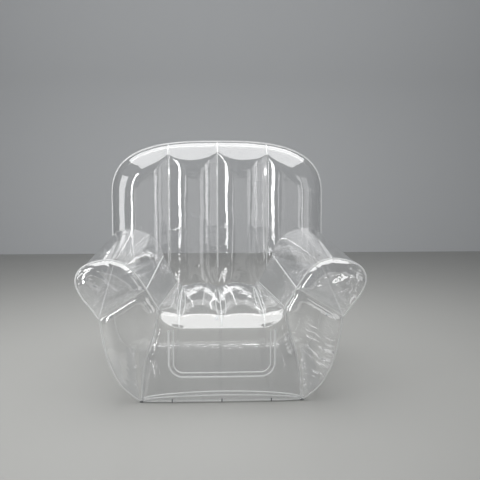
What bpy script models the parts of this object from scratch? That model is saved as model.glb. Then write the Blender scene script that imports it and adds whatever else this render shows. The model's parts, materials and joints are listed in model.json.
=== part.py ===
"""Inflatable armchair of clear film: seat and back share one air chamber, and each arm is a chamber of its own.

Metres, +Z up, the sitter faces -Y, and the origin is on the floor under the middle of the chair.
Left is the -X side. Every film panel, inner web and valve piece is an object of its own.
"""

import math

import bmesh
import bpy
from mathutils import Matrix, Vector

# Overall sizes
chair_depth = 0.95
chair_height = 0.965
arm_reach = 0.541
arm_height = 0.54

# Film, and how the panels keep clear of each other at their welds
film_thickness = 0.0005
web_thickness = 0.0004
weld_gap = 0.0003
edge_pull = 0.0007
floor_level = 0.0015
cap_gap = 0.0008
rear_gap = 0.0016
web_pull = 0.0009
seat_web_pull = 0.0010
cut_overrun = 0.01
merge_distance = 0.00005

# Backrest
back_half_width = 0.48
back_shoulder_height = 0.70
back_corner_power = 2.9
back_crown_half_depth = 0.125
back_valley_half_depth = 0.092
back_edge_radius = 0.125
back_seam_spacing = 0.222
back_lean = 0.035
back_lean_power = 1.5
back_floor_half_width = 0.37
back_foot_height = 0.20
back_foot_power = 2.2
back_foot_radius = 0.08
back_foot_depth_share = 0.8
back_channel_start = 0.20
back_channel_full = 0.42
back_web_foot = 0.40
back_web_head_room = 0.05

# Seat and base
seat_height = 0.352
seat_rear_height = 0.335
seat_dimple = 0.020
front_seam_height = 0.288
front_seam_flat = 0.14
seat_seam_spacing = 0.160
seat_web_foot_spacing = 0.187
seat_web_front_room = 0.038
seat_web_rear_room = 0.09
front_bulge = 0.032
front_fall = 0.030
base_floor_half_width = 0.300
edge_blend_power = 4
wall_rear_floor_x = 0.29
baffle_half_width = 0.195
baffle_foot = 0.105
baffle_head = 0.280
baffle_corner_radius = 0.05
baffle_bulge = 0.012
baffle_gap = 0.0012

# Arms
arm_rear_rise = 0.039
arm_rear_waist_x = 0.247
arm_rear_waist_drop = 0.084
arm_rear_seat_x = 0.185
arm_rear_inset = 0.002
arm_tip_x = 0.312
waist_web_room = 0.012

# Valves
valve_bore_radius = 0.0035
valve_stem_radius = 0.0055
valve_stem_height = 0.014
valve_skirt_radius = 0.0052
valve_skirt_depth = 0.004
valve_flange_radius = 0.012
valve_flange_thickness = 0.0012
valve_hole_clearance = 0.0008
valve_seat_gap = 0.0004
plug_head_radius = 0.0065
plug_head_thickness = 0.002
plug_shaft_length = 0.009
plug_clearance = 0.0003
plug_taper = 0.0003
strap_width = 0.003
strap_thickness = 0.0010
strap_reach = 0.006
flap_thickness = 0.0004
flap_radius = 0.005
back_valve_height = 0.12
arm_valve_height_share = 0.30
arm_valve_depth_share = 0.62

# Front outline of an arm, as shares of arm_reach and arm_height: the roll from the outer seam over the top to the
# waist seam, the inner wall from the waist seam down to the floor, and the outer side from that outer seam down.
ROLL_FRONT_SHARES = ((0.847, 0.596), (0.891, 0.661), (0.959, 0.750), (0.998, 0.843), (0.980, 0.920),
                     (0.913, 0.972), (0.790, 1.000), (0.689, 0.981), (0.614, 0.924), (0.555, 0.848), (0.523, 0.796))
WALL_FRONT_SHARES = ((0.523, 0.796), (0.482, 0.726), (0.444, 0.657), (0.446, 0.600), (0.455, 0.545), (0.470, 0.481),
                     (0.490, 0.417), (0.518, 0.330), (0.536, 0.240), (0.547, 0.150), (0.552, 0.070))
SIDE_FRONT_SHARES = ((0.847, 0.596), (0.835, 0.500), (0.820, 0.410), (0.797, 0.310), (0.757, 0.205), (0.705, 0.115),
                     (0.640, 0.050))
# The same roll where it meets the backrest, as shares of back_half_width and arm_rear_height.
ROLL_REAR_SHARES = ((1.0, 0.690), (1.0, 0.760), (1.0, 0.830), (1.0, 0.895), (0.982, 0.945), (0.933, 0.978),
                    (0.835, 1.000), (0.735, 0.990), (0.632, 0.952), (0.546, 0.869), (0.515, 0.788))
# The wall's heights at its rear end: shares of the way from waist to seat, then from seat to floor.
WALL_REAR_UPPER_SHARES = (0.0, 0.52, 1.0)
WALL_REAR_LOWER_SHARES = (0.0, 0.10, 0.20, 0.31, 0.42, 0.56, 0.70, 0.84, 0.94, 1.0)
WALL_SEAT_ROW = len(WALL_REAR_UPPER_SHARES) - 1
# Centre line of the front panel, from the floor up to the front seam, as shares of front_bulge and of that height.
PANEL_FRONT_SHARES = ((0.46, 0.0), (0.72, 0.10), (0.89, 0.22), (0.97, 0.36), (1.0, 0.50), (1.0, 0.63), (0.99, 0.73),
                      (0.98, 0.83), (0.96, 0.92), (0.94, 1.0))
# Centre line of the seat, from the front seam up and back, as shares of front_bulge and of the rise to its top.
SEAT_FRONT_SHARES = ((0.94, 0.0), (0.56, 0.24), (0.0, 0.46), (-0.80, 0.65))
SEAT_FRONT_EDGE_SHARES = (0.0, 0.015, 0.035, 0.07)

ARM_STATIONS = 9
ROLL_HALF_STEPS = 8
CAP_STEPS = 6
ROUND_STEPS = 5

FOOT_ROW_POWER = 1.5
BAFFLE_FLATNESS_POWER = 4
LEAST_FACING_SHARE = 0.15
PROBE_SHARE = 0.01

front_plane = -chair_depth / 2 + front_bulge
arm_rear_height = arm_height + arm_rear_rise
arm_rear_waist_height = arm_height - arm_rear_waist_drop


def smooth_step(share):
    share = min(max(share, 0.0), 1.0)
    return share * share * (3 - 2 * share)


def round_over(share):
    """Quarter ellipse: 0 at the edge, 1 from one radius in."""
    share = min(max(share, 0.0), 1.0)
    return math.sqrt(1 - (1 - share) ** 2)


def smooth_line(points, steps):
    """Points evenly spaced in number along a smooth curve through the given ones."""
    ends = [2 * points[0] - points[1]] + list(points) + [2 * points[-1] - points[-2]]
    found = []
    for step in range(steps + 1):
        place = step / steps * (len(points) - 1)
        index = min(int(place), len(points) - 2)
        t = place - index
        a, b, c, d = ends[index:index + 4]
        found.append(0.5 * (2 * b + (c - a) * t + (2 * a - 5 * b + 4 * c - d) * t * t + (3 * b - a - 3 * c + d) * t ** 3))
    return found


# The backrest's shape

def back_half_width_at(height):
    if height < back_foot_height:
        share = 1 - max(height, 0.0) / back_foot_height
        spread = back_half_width - back_floor_half_width
        return back_floor_half_width + spread * (1 - share ** back_foot_power) ** (1 / back_foot_power)
    if height <= back_shoulder_height:
        return back_half_width
    share = min((height - back_shoulder_height) / (chair_height - back_shoulder_height), 1.0)
    return back_half_width * (1 - share ** back_corner_power) ** (1 / back_corner_power)


def back_top(x):
    share = min(abs(x) / back_half_width, 1.0)
    rise = chair_height - back_shoulder_height
    return back_shoulder_height + rise * (1 - share ** back_corner_power) ** (1 / back_corner_power)


def back_edge_distance(x, height):
    """Distance in from the backrest's outline."""
    if height <= back_shoulder_height:
        return back_half_width_at(height) - abs(x)
    rise = chair_height - back_shoulder_height
    across = abs(x) / back_half_width
    up = (height - back_shoulder_height) / rise
    ring = (across ** back_corner_power + up ** back_corner_power) ** (1 / back_corner_power)
    slope = math.hypot(across ** (back_corner_power - 1) / back_half_width, up ** (back_corner_power - 1) / rise)
    return (1 - ring) / (slope * ring ** (1 - back_corner_power))


def channel_dip(x, spacing):
    """1 on a seam, 0 midway between two seams, and 0 beyond half a channel outside the last seam."""
    x = abs(x)
    if x <= spacing:
        return (2 * x / spacing - 1) ** 2
    return max(0.0, 1 - 2 * (x - spacing) / spacing) ** 2


def back_middle(height):
    below = max(0.0, 1 - height / back_shoulder_height)
    return chair_depth / 2 - back_crown_half_depth - back_lean * below ** back_lean_power


def back_half_depth(x, height):
    channel = smooth_step((height - back_channel_start) / (back_channel_full - back_channel_start))
    dip = channel * channel_dip(x, back_seam_spacing)
    depth = back_crown_half_depth - (back_crown_half_depth - back_valley_half_depth) * dip
    foot = back_foot_depth_share + (1 - back_foot_depth_share) * round_over(height / back_foot_radius)
    return max(edge_pull, depth * foot * round_over(back_edge_distance(x, height) / back_edge_radius))


def back_front_y(x, height):
    return back_middle(height) - back_half_depth(x, height)


def back_rear_y(x, height):
    return back_middle(height) + back_half_depth(x, height)


def arm_end_y(x, height):
    """Where an arm's film stops, just short of the backrest's front face."""
    facing = max(back_half_depth(x, height) / back_crown_half_depth, LEAST_FACING_SHARE)
    return back_front_y(x, height) - rear_gap / facing


# The arm's sections, each a list of (x, height) on the +X side

def shared_points(shares, width, height):
    return [Vector((x * width, z * height)) for x, z in shares]


def roll_front():
    return smooth_line(shared_points(ROLL_FRONT_SHARES, arm_reach, arm_height), 2 * ROLL_HALF_STEPS)


def roll_rear():
    points = shared_points(ROLL_REAR_SHARES, back_half_width, arm_rear_height)
    points = [Vector((min(p.x, back_half_width - arm_rear_inset), p.y)) for p in points]
    points[-1] = Vector((arm_rear_waist_x, arm_rear_waist_height))
    return smooth_line(points, 2 * ROLL_HALF_STEPS)


def wall_front():
    points = shared_points(WALL_FRONT_SHARES, arm_reach, arm_height)
    return points + [Vector((base_floor_half_width, floor_level))]


def wall_rear():
    waist = Vector((arm_rear_waist_x, arm_rear_waist_height))
    seat = Vector((arm_rear_seat_x, seat_rear_height))
    foot = Vector((wall_rear_floor_x, floor_level))
    upper = [waist.lerp(seat, share) for share in WALL_REAR_UPPER_SHARES]
    lower = [seat.lerp(foot, share) for share in WALL_REAR_LOWER_SHARES]
    return upper + lower[1:]


def side_front():
    points = shared_points(SIDE_FRONT_SHARES, arm_reach, arm_height)
    return smooth_line(points + [Vector((arm_tip_x, floor_level))], len(wall_front()) - 1)


def side_rear():
    top = roll_rear()[0].y
    found = []
    steps = len(wall_front()) - 1
    for step in range(steps + 1):
        height = floor_level + (top - floor_level) * (1 - step / steps) ** FOOT_ROW_POWER
        found.append(Vector((back_half_width_at(height) - arm_rear_inset, height)))
    return found


# Makers

def start_scene():
    for thing in list(bpy.data.objects):
        bpy.data.objects.remove(thing)
    parts = bpy.data.collections.new("inflatable_chair")
    cutters = bpy.data.collections.new("cutters")
    bpy.context.scene.collection.children.link(parts)
    bpy.context.scene.collection.children.link(cutters)
    return parts, cutters


def add_material(name, colour, roughness, alpha):
    material = bpy.data.materials.new(name)
    material.use_nodes = True
    shader = material.node_tree.nodes["Principled BSDF"]
    shader.inputs["Base Color"].default_value = (*colour, 1.0)
    shader.inputs["Roughness"].default_value = roughness
    shader.inputs["Metallic"].default_value = 0.0
    shader.inputs["Alpha"].default_value = alpha
    return material


def add_object(name, mesh, colour, roughness=0.08, alpha=0.35):
    thing = bpy.data.objects.new(name, mesh)
    mesh.materials.append(add_material(name, colour, roughness, alpha))
    parts.objects.link(thing)
    return thing


FILM_COLOUR = (0.80, 0.84, 0.88)
WEB_COLOUR = (0.74, 0.78, 0.84)
VALVE_COLOUR = (0.70, 0.76, 0.82)


def film(name, columns, rows, place, colour=FILM_COLOUR, thickness=film_thickness):
    """A sheet of film: a grid whose points are placed by column and row, given its wall by Solidify."""
    sheet = bmesh.new()
    bmesh.ops.create_grid(sheet, x_segments=columns, y_segments=rows, size=1)
    for vertex in sheet.verts:
        column = round((vertex.co.x + 1) / 2 * columns)
        row = round((vertex.co.y + 1) / 2 * rows)
        vertex.co = place(column, row)
    bmesh.ops.remove_doubles(sheet, verts=sheet.verts, dist=merge_distance)
    bmesh.ops.recalc_face_normals(sheet, faces=sheet.faces)
    mesh = bpy.data.meshes.new(name)
    sheet.to_mesh(mesh)
    sheet.free()
    mesh.shade_smooth()
    thing = add_object(name, mesh, colour)
    wall = thing.modifiers.new("Wall", "SOLIDIFY")
    wall.thickness = thickness
    wall.offset = 0
    wall.use_even_offset = True
    return thing


def turned(name, profile, colour, steps=24):
    """A turned piece: a closed profile of (radius, height) points, spun round local Z."""
    outline = bmesh.new()
    points = [outline.verts.new((radius, 0, height)) for radius, height in profile]
    for first, second in zip(points, points[1:] + points[:1]):
        outline.edges.new((first, second))
    mesh = bpy.data.meshes.new(name)
    outline.to_mesh(mesh)
    outline.free()
    thing = add_object(name, mesh, colour)
    spin = thing.modifiers.new("Spin", "SCREW")
    spin.steps = steps
    spin.render_steps = steps
    spin.use_merge_vertices = True
    spin.merge_threshold = merge_distance
    return thing


def disc(name, radius, thickness, hinge_x, colour, steps=24):
    """A thin disc that stands on local z = 0, with its rim at the hinge, which is the origin."""
    plate = bmesh.new()
    bmesh.ops.create_cone(plate, cap_ends=True, segments=steps, radius1=radius, radius2=radius, depth=thickness)
    bmesh.ops.translate(plate, verts=plate.verts, vec=(hinge_x, 0, thickness / 2))
    mesh = bpy.data.meshes.new(name)
    plate.to_mesh(mesh)
    plate.free()
    return add_object(name, mesh, colour)


# Backrest

def back_columns():
    """Places across the backrest: finest in the round of its edge, and always one on each seam."""
    half = [back_seam_spacing * step / 6 for step in range(6)]
    flat_end = back_half_width - back_edge_radius
    half += [back_seam_spacing, arm_rear_waist_x, (arm_rear_waist_x + flat_end) / 2, flat_end]
    for step in range(1, ROUND_STEPS + 1):
        half.append(flat_end + back_edge_radius * math.sin(math.pi / 2 * step / ROUND_STEPS))
    return [-x for x in reversed(half[1:])] + half


def climb(bottom, top, straight_steps, row):
    """Height of a row: even steps up the straight part, then round the top edge."""
    turn = top - back_edge_radius
    if row <= straight_steps:
        return bottom + (turn - bottom) * row / straight_steps
    angle = math.pi / 2 * (row - straight_steps) / ROUND_STEPS
    return turn + back_edge_radius * math.sin(angle)


def back_front_bottom(x):
    """Lower edge of the front face: level behind the seat, then up along each arm to its waist seam."""
    share = (abs(x) - arm_rear_seat_x) / (arm_rear_waist_x - arm_rear_seat_x)
    share = min(max(share, 0.0), 1.0)
    return seat_rear_height + edge_pull + (arm_rear_waist_height - seat_rear_height) * share


def make_back():
    columns = back_columns()
    front_steps = 8
    rear_foot_steps = 5
    rear_steps = 8

    def front(column, row):
        x = columns[column]
        height = climb(back_front_bottom(x), back_top(x), front_steps, row)
        return Vector((x, back_front_y(x, height), height))

    def rear(column, row):
        x = columns[column]
        if row <= rear_foot_steps:
            height = floor_level + (back_foot_height - floor_level) * (row / rear_foot_steps) ** FOOT_ROW_POWER
            x *= back_half_width_at(height) / back_half_width
        else:
            height = climb(back_foot_height, back_top(x), rear_steps, row - rear_foot_steps)
        return Vector((x, back_rear_y(x, height), height))

    film("back_front_film", len(columns) - 1, front_steps + ROUND_STEPS, front)
    rear_film = film("back_rear_film", len(columns) - 1, rear_foot_steps + rear_steps + ROUND_STEPS, rear)
    for name, x in (("left", -back_seam_spacing), ("centre", 0.0), ("right", back_seam_spacing)):
        web_steps = 7

        def web(column, row, x=x):
            height = back_web_foot + (back_top(x) - back_web_head_room - back_web_foot) * row / web_steps
            reach = back_half_depth(x, height) - web_pull
            return Vector((x, back_middle(height) + reach * (column - 1), height))

        film(f"back_web_{name}", 2, web_steps, web, WEB_COLOUR, web_thickness)
    return rear_film


# Seat and base

SEAT_TOP_STEPS = 9
SEAT_FRONT_STEPS = len(SEAT_FRONT_SHARES) - 1
OUTER_COLUMN_SHARES = (0.28, 0.52, 0.72, 0.88, 1.0)


def edge_blend(share):
    """1 over the middle of a panel, falling to 0 at its side edge."""
    return math.sqrt(max(0.0, 1 - min(abs(share), 1.0) ** edge_blend_power))


def corner_blend(x, edge):
    """1 along the straight of the front seam, falling to 0 round its corner."""
    share = (abs(x) - front_seam_flat) / (edge - front_seam_flat)
    return math.sqrt(1 - min(max(share, 0.0), 1.0) ** 2)


def place_across(across, edge):
    """x of a place across the seat: +-1 on a seam and +-2 on the side edge."""
    share = abs(across)
    x = seat_seam_spacing * share if share <= 1 else seat_seam_spacing + (edge - seat_seam_spacing) * (share - 1)
    return math.copysign(x, across)


def seat_edge(share):
    """Side edge of the seat on the +X side: from the top of the front seam back along the arm."""
    point = wall_front()[WALL_SEAT_ROW].lerp(wall_rear()[WALL_SEAT_ROW], share)
    start = front_plane - cap_gap
    rear = back_front_y(arm_rear_seat_x, seat_rear_height) - rear_gap
    return Vector((point.x - edge_pull, start + (rear - start) * share, point.y))


def seat_share(row):
    """How far back a row of the seat meets the arm."""
    if row <= SEAT_FRONT_STEPS:
        return SEAT_FRONT_EDGE_SHARES[row]
    start = SEAT_FRONT_EDGE_SHARES[-1]
    return start + (1 - start) * (row - SEAT_FRONT_STEPS) / SEAT_TOP_STEPS


def seat_centre(row, x):
    """(y, height) of the seat's surface away from its side edges."""
    rise = seat_height - front_seam_height
    proud, up = SEAT_FRONT_SHARES[min(row, SEAT_FRONT_STEPS)]
    y = front_plane - proud * front_bulge
    height = front_seam_height + rise * up
    if row <= SEAT_FRONT_STEPS:
        return y, height
    share = (row - SEAT_FRONT_STEPS) / SEAT_TOP_STEPS
    rear = back_front_y(0.0, seat_rear_height)
    end = rear + (back_front_y(x, seat_rear_height) - rear) * share ** 4 - rear_gap
    top = seat_height - (seat_height - seat_rear_height) * share ** 2
    return y + (end - y) * share, top + (height - seat_height) * max(0.0, 1 - 3 * share) ** 2


def seat_point(across, row):
    edge = seat_edge(seat_share(row))
    x = place_across(across, edge.x)
    y, height = seat_centre(row, x)
    blend = edge_blend(x / edge.x)
    share = abs(across)
    dip = (2 * share - 1) ** 2 if share <= 1 else max(0.0, 1 - 2 * (share - 1)) ** 2
    height -= seat_dimple * dip * smooth_step((row - 1) / SEAT_FRONT_STEPS)
    rise_blend = corner_blend(x, edge.x) if row == 0 else blend
    lift = edge_pull if row == 0 else 0.0
    height = edge.z + (height - edge.z) * rise_blend + lift
    x -= math.copysign(lift * (1 - rise_blend), x)
    return Vector((x, edge.y + (y - edge.y) * blend, height))


def seat_columns():
    half = [step / 5 for step in range(6)] + [1 + share for share in OUTER_COLUMN_SHARES]
    return [-share for share in reversed(half[1:])] + half


def panel_point(across, place):
    """Point of the front panel: place runs from 0 at the floor to the number of its rows at the front seam."""
    wall = wall_front()[WALL_SEAT_ROW:]
    rows = len(wall) - 1
    row = min(int(place), rows - 1)
    share = place - row
    edge = wall[rows - row].lerp(wall[rows - row - 1], share)
    proud = PANEL_FRONT_SHARES[row][0] + (PANEL_FRONT_SHARES[row + 1][0] - PANEL_FRONT_SHARES[row][0]) * share
    up = PANEL_FRONT_SHARES[row][1] + (PANEL_FRONT_SHARES[row + 1][1] - PANEL_FRONT_SHARES[row][1]) * share
    edge_x = edge.x - edge_pull
    x = place_across(across, edge_x)
    centre_height = floor_level + (front_seam_height - floor_level) * up
    height = edge.y + (centre_height - edge.y) * corner_blend(x, edge_x)
    start = front_plane - cap_gap
    y = start - (start - front_plane + proud * front_bulge) * edge_blend(x / edge_x)
    return Vector((x, y, height))


def make_seat_and_base():
    across = seat_columns()

    def seat(column, row):
        return seat_point(across[column], row)

    film("seat_film", len(across) - 1, SEAT_FRONT_STEPS + SEAT_TOP_STEPS, seat)

    panel_rows = len(PANEL_FRONT_SHARES) - 1

    def panel(column, row):
        return panel_point(across[column], row)

    film("base_front_film", len(across) - 1, panel_rows, panel)

    bottom_columns = 6
    straight_rows = 6
    front_edge = panel_point(0.0, 0.0).y + cap_gap
    side_end = back_middle(0.0)
    foot_reach = back_foot_depth_share * back_crown_half_depth - rear_gap

    def bottom(column, row):
        if row <= straight_rows:
            share = row / straight_rows
            y = front_edge + (side_end - front_edge) * share
            half = base_floor_half_width + (back_floor_half_width - base_floor_half_width) * share
        else:
            angle = math.pi / 2 * (row - straight_rows) / ROUND_STEPS
            y = side_end + foot_reach * math.sin(angle)
            half = back_floor_half_width - back_edge_radius * (1 - math.cos(angle))
        return Vector((half * (2 * column / bottom_columns - 1), y, film_thickness / 2))

    film("base_bottom_film", bottom_columns, straight_rows + ROUND_STEPS, bottom)

    for name, side in (("left", -1), ("centre", 0), ("right", 1)):
        web_columns = 8
        web_rows = 3
        front = front_plane + seat_web_front_room
        rear = back_front_y(0.0, seat_rear_height) - seat_web_rear_room

        def web(column, row, side=side, front=front, rear=rear):
            y = front + (rear - front) * column / web_columns
            top = seat_valley_height(side, y) - seat_web_pull
            height = floor_level + (top - floor_level) * row / web_rows
            spread = seat_web_foot_spacing + (seat_seam_spacing - seat_web_foot_spacing) * row / web_rows
            return Vector((side * spread, y, height))

        film(f"seat_web_{name}", web_columns, web_rows, web, WEB_COLOUR, web_thickness)

    baffle_columns = 10
    baffle_rows = 8

    def baffle(column, row):
        share = row / baffle_rows
        height = baffle_foot + (baffle_head - baffle_foot) * share
        corner = 1 - min((height - baffle_foot) / baffle_corner_radius, 1.0)
        half = baffle_half_width - baffle_corner_radius * (1 - math.sqrt(1 - corner ** 2))
        place = 2 * column / baffle_columns - 1
        flat = (1 - place ** BAFFLE_FLATNESS_POWER) * (1 - (2 * share - 1) ** BAFFLE_FLATNESS_POWER)
        point = panel_point_at(half * place, height)
        return point + Vector((0, baffle_gap + baffle_bulge * flat, 0))

    film("front_baffle", baffle_columns, baffle_rows, baffle, WEB_COLOUR, web_thickness)


def panel_point_at(x, height):
    """Point of the front panel at a place across and a height, on the flat part of its front seam."""
    rows = len(PANEL_FRONT_SHARES) - 1
    up = (height - floor_level) / (front_seam_height - floor_level)
    row = max(step for step in range(rows) if PANEL_FRONT_SHARES[step][1] <= up)
    share = (up - PANEL_FRONT_SHARES[row][1]) / (PANEL_FRONT_SHARES[row + 1][1] - PANEL_FRONT_SHARES[row][1])
    wall = wall_front()[WALL_SEAT_ROW:]
    edge_x = wall[rows - row].lerp(wall[rows - row - 1], share).x - edge_pull
    beyond = (abs(x) - seat_seam_spacing) / (edge_x - seat_seam_spacing)
    across = math.copysign(1 + beyond if beyond > 0 else abs(x) / seat_seam_spacing, x)
    point = panel_point(across, row + share)
    return Vector((x, point.y, height))


def seat_valley_height(side, y):
    """Height of the seat's film along a seam, between the rows of its grid."""
    points = [seat_point(side, row) for row in range(SEAT_FRONT_STEPS, SEAT_FRONT_STEPS + SEAT_TOP_STEPS + 1)]
    for first, second in zip(points, points[1:]):
        if first.y <= y <= second.y:
            return first.z + (second.z - first.z) * (y - first.y) / (second.y - first.y)
    return points[0].z


# Arms

def arm_place(front, rear, share):
    """Point of an arm's film: straight from its place on the front cap to its place on the backrest."""
    point = front.lerp(rear, share)
    start = front_plane + cap_gap
    return Vector((point.x, start + (arm_end_y(rear.x, rear.y) - start) * share, point.y))


def on_side(point, side):
    return Vector((side * point.x, point.y, point.z))


def trim(points, first, last):
    """Pulls the ends of a section back from its seams."""
    points = list(points)
    if first:
        points[0] = points[0] + (points[1] - points[0]).normalized() * first
    if last:
        points[-1] = points[-1] + (points[-2] - points[-1]).normalized() * last
    return points


def make_arm(name, side):
    def strip(piece, front, rear, colour=FILM_COLOUR, thickness=film_thickness):
        def place(column, row):
            return on_side(arm_place(front[row], rear[row], column / ARM_STATIONS), side)

        return film(f"{name}_{piece}", ARM_STATIONS, len(front) - 1, place, colour, thickness)

    roll = strip("roll_film", trim(roll_front(), edge_pull, edge_pull), trim(roll_rear(), edge_pull, edge_pull))
    wall = strip("inner_wall", trim(wall_front(), edge_pull, 0), trim(wall_rear(), edge_pull, 0))
    outer = strip("side_film", trim(side_front(), edge_pull, 0), trim(side_rear(), edge_pull, 0))

    wall_side = wall_front()
    outer_side = side_front()
    roll_side = roll_front()
    rungs = [(wall_side[i], outer_side[i]) for i in range(len(wall_side) - 1, -1, -1)]
    low_rungs = len(rungs) - 1
    rungs += [(roll_side[-1 - i], roll_side[i]) for i in range(1, ROLL_HALF_STEPS + 1)]

    def cap(column, row):
        inner, outer_end = rungs[row]
        share = column / CAP_STEPS
        point = inner.lerp(outer_end, share)
        lobe = row / low_rungs if row <= low_rungs else (row - low_rungs) / ROLL_HALF_STEPS
        dome = round_over(2 * min(share, 1 - share)) * round_over(2 * min(lobe, 1 - lobe))
        return on_side(Vector((point.x, front_plane - front_fall * dome, point.y)), side)

    film(f"{name}_front_cap", CAP_STEPS, len(rungs) - 1, cap)

    web_rows = 6
    room = waist_web_room / chair_depth
    front_ends = trim([roll_front()[0], roll_front()[-1]], web_pull, web_pull)
    rear_ends = trim([roll_rear()[0], roll_rear()[-1]], web_pull, web_pull)

    def web(column, row):
        front = front_ends[0].lerp(front_ends[1], row / web_rows)
        rear = rear_ends[0].lerp(rear_ends[1], row / web_rows)
        return on_side(arm_place(front, rear, room + (1 - 2 * room) * column / ARM_STATIONS), side)

    film(f"{name}_waist_web", ARM_STATIONS, web_rows, web, WEB_COLOUR, web_thickness)

    rear_columns = 6
    rear_rows = 7
    top = arm_rear_waist_height - rear_gap

    def rear_wall(column, row):
        height = floor_level + (top - floor_level) * row / rear_rows
        share = (height - floor_level) / (seat_rear_height - floor_level)
        if share <= 1:
            inner = wall_rear_floor_x + (arm_rear_seat_x - wall_rear_floor_x) * share
        else:
            rise = (height - seat_rear_height) / (arm_rear_waist_height - seat_rear_height)
            inner = arm_rear_seat_x + (arm_rear_waist_x - arm_rear_seat_x) * rise + rear_gap
        edge = back_half_width_at(height)
        turn = edge - back_edge_radius
        if column == 0:
            x = inner
        else:
            x = turn + back_edge_radius * math.sin(math.pi / 2 * (column - 1) / (rear_columns - 1))
            x = max(x, inner + (edge - inner) * column / (2 * rear_columns))
        return on_side(Vector((x, back_front_y(x, height), height)), side)

    film(f"{name}_rear_wall", rear_columns, rear_rows, rear_wall, WEB_COLOUR)
    return roll, wall, outer


# Valves

def valve_frame(point, normal, upright):
    """Local Z stands out of the film, and local X lies along it."""
    normal = normal.normalized()
    x_axis = upright.cross(normal).normalized()
    y_axis = normal.cross(x_axis)
    frame = Matrix((x_axis, y_axis, normal)).transposed().to_4x4()
    frame.translation = point
    return frame


def surface_frame(place, u, v, outward):
    """Frame on a surface that a function of two shares gives."""
    along = place(u + PROBE_SHARE, v) - place(u - PROBE_SHARE, v)
    up = place(u, v + PROBE_SHARE) - place(u, v - PROBE_SHARE)
    normal = along.cross(up)
    if normal.dot(outward) < 0:
        normal = -normal
    return valve_frame(place(u, v), normal, Vector((0, 0, 1)))


def make_valve(name, frame, skin):
    base = bpy.data.objects.new(f"{name}_frame", None)
    parts.objects.link(base)
    base.matrix_world = frame

    mesh = bpy.data.meshes.new(f"{name}_hole")
    drill = bmesh.new()
    hole_radius = valve_skirt_radius + valve_hole_clearance
    bmesh.ops.create_cone(drill, cap_ends=True, segments=24, radius1=hole_radius, radius2=hole_radius,
                          depth=2 * cut_overrun)
    drill.to_mesh(mesh)
    drill.free()
    cutter = bpy.data.objects.new(f"{name}_hole", mesh)
    cutter.hide_render = True
    cutter.display_type = "WIRE"
    cutters.objects.link(cutter)
    cutter.matrix_world = frame
    hole = skin.modifiers.new(f"{name}_hole", "BOOLEAN")
    hole.operation = "DIFFERENCE"
    hole.object = cutter

    foot = film_thickness / 2 + valve_seat_gap
    flange_top = foot + valve_flange_thickness
    top = foot + valve_stem_height
    stem = turned(f"{name}_stem", (
        (valve_bore_radius, top),
        (valve_stem_radius, top),
        (valve_stem_radius, flange_top),
        (valve_flange_radius, flange_top),
        (valve_flange_radius, foot),
        (valve_skirt_radius, foot),
        (valve_skirt_radius, -valve_skirt_depth),
        (valve_bore_radius, -valve_skirt_depth),
    ), VALVE_COLOUR)
    stem.parent = base

    shaft = valve_bore_radius - plug_clearance
    head_foot = plug_clearance
    plug = turned(f"{name}_plug", (
        (0, head_foot + plug_head_thickness),
        (plug_head_radius, head_foot + plug_head_thickness),
        (plug_head_radius, head_foot),
        (shaft, head_foot),
        (shaft, -plug_shaft_length / 2),
        (shaft - plug_taper, -plug_shaft_length),
        (0, -plug_shaft_length),
    ), VALVE_COLOUR)
    plug.parent = base
    plug.location = (0, 0, top)

    strap_steps = 8
    low = Vector((valve_stem_radius + weld_gap, flange_top + weld_gap + strap_width / 2))
    high = Vector((plug_head_radius + weld_gap, top + head_foot + plug_head_thickness / 2))

    def strap(column, row):
        share = row / strap_steps
        bow = strap_reach * math.sin(math.pi * share)
        point = low.lerp(high, share) + Vector((bow, 0))
        return Vector((point.x, strap_width * (column - 0.5), point.y))

    tether = film(f"{name}_strap", 1, strap_steps, strap, VALVE_COLOUR, strap_thickness)
    tether.parent = base

    flap_level = -valve_skirt_depth - weld_gap - flap_thickness
    flap = disc(f"{name}_flap", flap_radius, flap_thickness, flap_radius, VALVE_COLOUR)
    flap.parent = base
    flap.location = (-flap_radius, 0, flap_level)


parts, cutters = start_scene()
back_rear = make_back()
make_seat_and_base()
skins = {}
for arm_name, arm_side in (("arm_left", -1), ("arm_right", 1)):
    skins[arm_name] = make_arm(arm_name, arm_side)[2]


def rear_surface(u, v):
    x = u * back_half_width
    height = v * chair_height
    return Vector((x, back_rear_y(x, height), height))


back_frame = surface_frame(rear_surface, 0.0, back_valve_height / chair_height, Vector((0, 1, 0)))
make_valve("back_valve", back_frame, back_rear)
for arm_name, arm_side in (("arm_left", -1), ("arm_right", 1)):
    fronts = side_front()
    rears = side_rear()

    def side_surface(u, v, side=arm_side):
        place = v * (len(fronts) - 1)
        index = min(int(place), len(fronts) - 2)
        front = fronts[index].lerp(fronts[index + 1], place - index)
        rear = rears[index].lerp(rears[index + 1], place - index)
        return on_side(arm_place(front, rear, u), side)

    frame = surface_frame(side_surface, arm_valve_depth_share, arm_valve_height_share, Vector((arm_side, 0, 0)))
    make_valve(f"{arm_name}_valve", frame, skins[arm_name])
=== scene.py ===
"""Looks of the clear inflatable armchair: glossy vinyl film, inner webs, heat-sealed welds and air valves.

Metres, +Z up, the sitter faces -Y, and left is the -X side. Every film is a thin shell made from a grid that is
placed by its column and row, then puckered where its welds gather it.
"""

import json
from math import copysign, cos, hypot, pi, radians, sin, sqrt

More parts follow.
